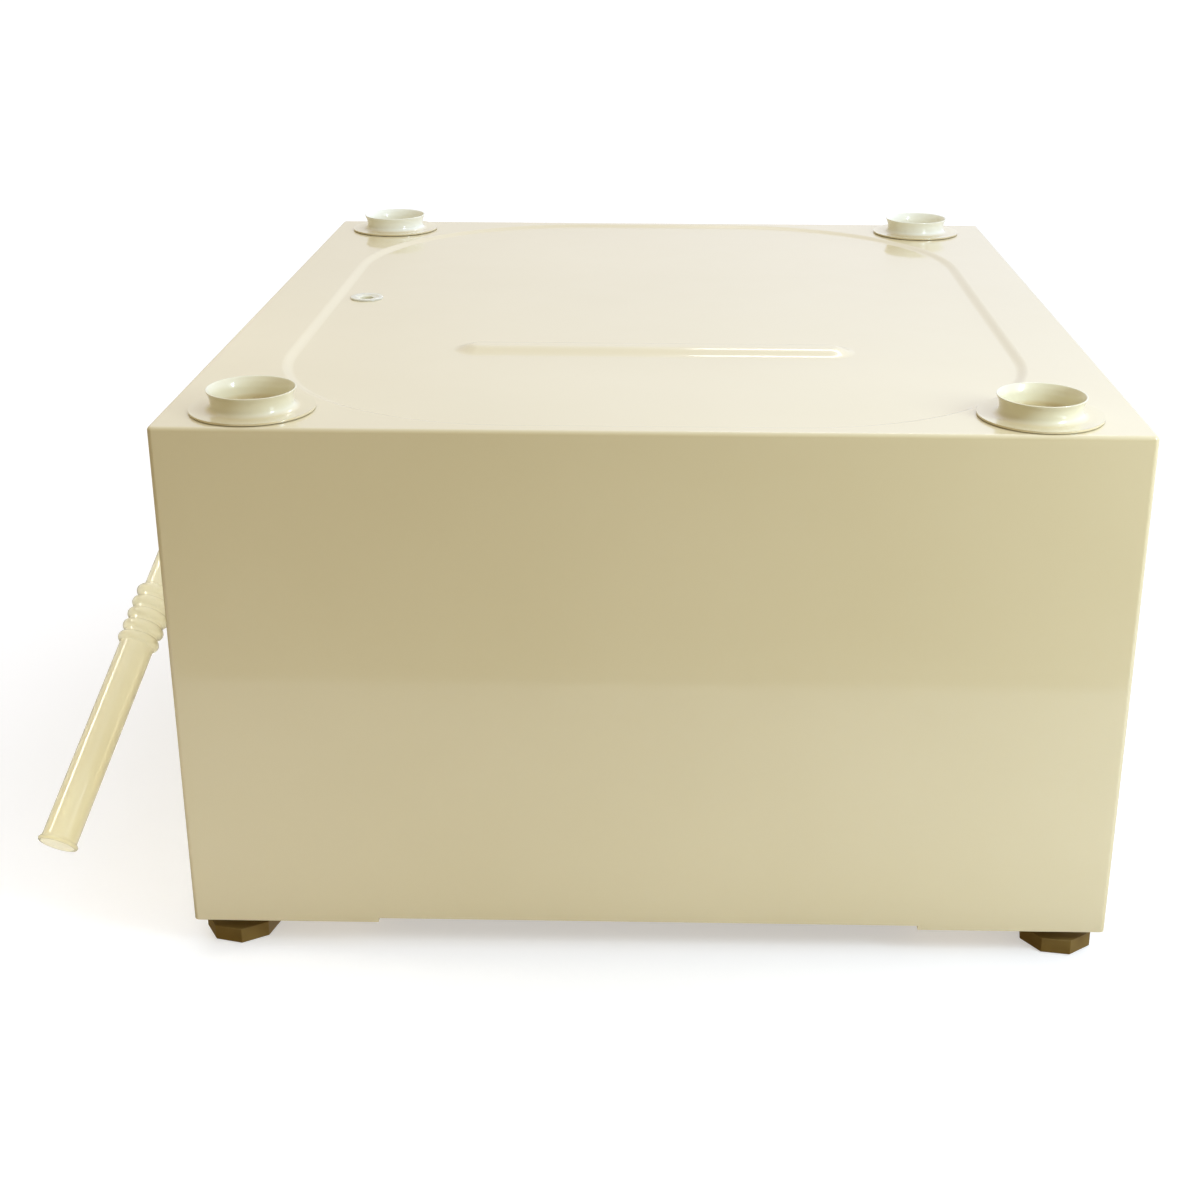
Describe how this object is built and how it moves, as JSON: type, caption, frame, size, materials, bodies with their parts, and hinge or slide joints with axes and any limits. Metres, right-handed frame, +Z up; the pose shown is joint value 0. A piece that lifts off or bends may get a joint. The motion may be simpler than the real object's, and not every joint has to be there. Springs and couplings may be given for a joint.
{
  "type": "laundry pedestal",
  "caption": "Closed painted-steel pedestal for a laundry machine: drip-pan deck with cups for the machine's feet, screw levelling feet, and a drain with a swivelling ribbed spout.",
  "frame": {"origin": "on the floor, under the middle of the cabinet's box (without the drain spout)", "axes": "+X to the right seen from the front, +Y to the rear, +Z up"},
  "size_m": [0.7979, 0.7752, 0.4277],
  "materials": {
    "painted_sheet": "gloss",
    "cup_paint": "gloss",
    "galvanised_steel": "satin",
    "zinc_plate": "satin",
    "foot_plastic": "satin",
    "sole_rubber": "matte",
    "seal_rubber": "matte",
    "fitting_plastic": "gloss",
    "hose_plastic": "translucent",
    "tube_plastic": "satin"
  },
  "bodies": {
    "cabinet": {"corner_post_front_left": "galvanised_steel", "corner_post_front_right": "galvanised_steel", "corner_post_rear_left": "galvanised_steel", "corner_post_rear_right": "galvanised_steel", "deck_pads": "galvanised_steel", "deck_pan": "painted_sheet", "drain_gasket": "seal_rubber", "drain_nut": "fitting_plastic", "drain_spigot": "fitting_plastic", "drain_tube": "tube_plastic", "foot_bush_front_left": "zinc_plate", "foot_bush_front_right": "zinc_plate", "foot_bush_rear_left": "zinc_plate", "foot_bush_rear_right": "zinc_plate", "foot_cup_front_left": "cup_paint", "foot_cup_front_right": "cup_paint", "foot_cup_rear_left": "cup_paint", "foot_cup_rear_right": "cup_paint", "foot_plate_front_left": "painted_sheet", "foot_plate_front_right": "painted_sheet", "foot_plate_rear_left": "painted_sheet", "foot_plate_rear_right": "painted_sheet", "front_deck_beam": "galvanised_steel", "front_panel": "painted_sheet", "left_side_panel": "painted_sheet", "lower_tube_clip": "zinc_plate", "outlet_gasket": "seal_rubber", "outlet_nut": "fitting_plastic", "outlet_socket": "fitting_plastic", "rear_base_rail": "painted_sheet", "rear_deck_beam": "galvanised_steel", "rear_panel": "painted_sheet", "rear_screws": "zinc_plate", "right_side_panel": "painted_sheet", "upper_tube_clip": "zinc_plate"},
    "sole_front_left": {"foot_sole_front_left": "sole_rubber"},
    "foot_front_left": {"foot_base_front_left": "foot_plastic", "foot_stud_front_left": "zinc_plate"},
    "nut_front_left": {"lock_nut_front_left": "zinc_plate"},
    "sole_front_right": {"foot_sole_front_right": "sole_rubber"},
    "foot_front_right": {"foot_base_front_right": "foot_plastic", "foot_stud_front_right": "zinc_plate"},
    "nut_front_right": {"lock_nut_front_right": "zinc_plate"},
    "sole_rear_left": {"foot_sole_rear_left": "sole_rubber"},
    "foot_rear_left": {"foot_base_rear_left": "foot_plastic", "foot_stud_rear_left": "zinc_plate"},
    "nut_rear_left": {"lock_nut_rear_left": "zinc_plate"},
    "sole_rear_right": {"foot_sole_rear_right": "sole_rubber"},
    "foot_rear_right": {"foot_base_rear_right": "foot_plastic", "foot_stud_rear_right": "zinc_plate"},
    "nut_rear_right": {"lock_nut_rear_right": "zinc_plate"},
    "spout": {"spout_elbow": "fitting_plastic", "elbow_seal": "seal_rubber", "drain_hose": "hose_plastic"}
  },
  "joints": [
    {"name": "spout_swivel", "type": "hinge", "parent": "cabinet", "child": "spout", "pos_m": [-0.343, -0.1425, 0.2975], "axis": [-1, 0, 0], "range_deg": [-15, 90]},
    {"name": "foot_height_front_left", "type": "slide", "parent": "cabinet", "child": "sole_front_left", "axis": [0, 0, -1], "range_m": [-0.002, 0.018]},
    {"name": "foot_turn_front_left", "type": "hinge", "parent": "sole_front_left", "child": "foot_front_left", "pos_m": [-0.313, -0.3515, 0], "axis": [0, 0, -1], "range_deg": [-411, 3702]},
    {"name": "lock_nut_turn_front_left", "type": "hinge", "parent": "cabinet", "child": "nut_front_left", "pos_m": [-0.313, -0.3515, 0.023], "axis": [0, 0, -1], "range_deg": [0, 90]},
    {"name": "foot_height_front_right", "type": "slide", "parent": "cabinet", "child": "sole_front_right", "axis": [0, 0, -1], "range_m": [-0.002, 0.018]},
    {"name": "foot_turn_front_right", "type": "hinge", "parent": "sole_front_right", "child": "foot_front_right", "pos_m": [0.313, -0.3515, 0], "axis": [0, 0, -1], "range_deg": [-411, 3702]},
    {"name": "lock_nut_turn_front_right", "type": "hinge", "parent": "cabinet", "child": "nut_front_right", "pos_m": [0.313, -0.3515, 0.023], "axis": [0, 0, -1], "range_deg": [0, 90]},
    {"name": "foot_height_rear_left", "type": "slide", "parent": "cabinet", "child": "sole_rear_left", "axis": [0, 0, -1], "range_m": [-0.002, 0.018]},
    {"name": "foot_turn_rear_left", "type": "hinge", "parent": "sole_rear_left", "child": "foot_rear_left", "pos_m": [-0.313, 0.349, 0], "axis": [0, 0, -1], "range_deg": [-411, 3702]},
    {"name": "lock_nut_turn_rear_left", "type": "hinge", "parent": "cabinet", "child": "nut_rear_left", "pos_m": [-0.313, 0.349, 0.023], "axis": [0, 0, -1], "range_deg": [0, 90]},
    {"name": "foot_height_rear_right", "type": "slide", "parent": "cabinet", "child": "sole_rear_right", "axis": [0, 0, -1], "range_m": [-0.002, 0.018]},
    {"name": "foot_turn_rear_right", "type": "hinge", "parent": "sole_rear_right", "child": "foot_rear_right", "pos_m": [0.313, 0.349, 0], "axis": [0, 0, -1], "range_deg": [-411, 3702]},
    {"name": "lock_nut_turn_rear_right", "type": "hinge", "parent": "cabinet", "child": "nut_rear_right", "pos_m": [0.313, 0.349, 0.023], "axis": [0, 0, -1], "range_deg": [0, 90]}
  ],
  "couplings": [
    {"joint": "foot_height_front_left", "follows": "foot_turn_front_left", "m_per_rad": 0.00027852},
    {"joint": "foot_height_front_right", "follows": "foot_turn_front_right", "m_per_rad": 0.00027852},
    {"joint": "foot_height_rear_left", "follows": "foot_turn_rear_left", "m_per_rad": 0.00027852},
    {"joint": "foot_height_rear_right", "follows": "foot_turn_rear_right", "m_per_rad": 0.00027852}
  ]
}
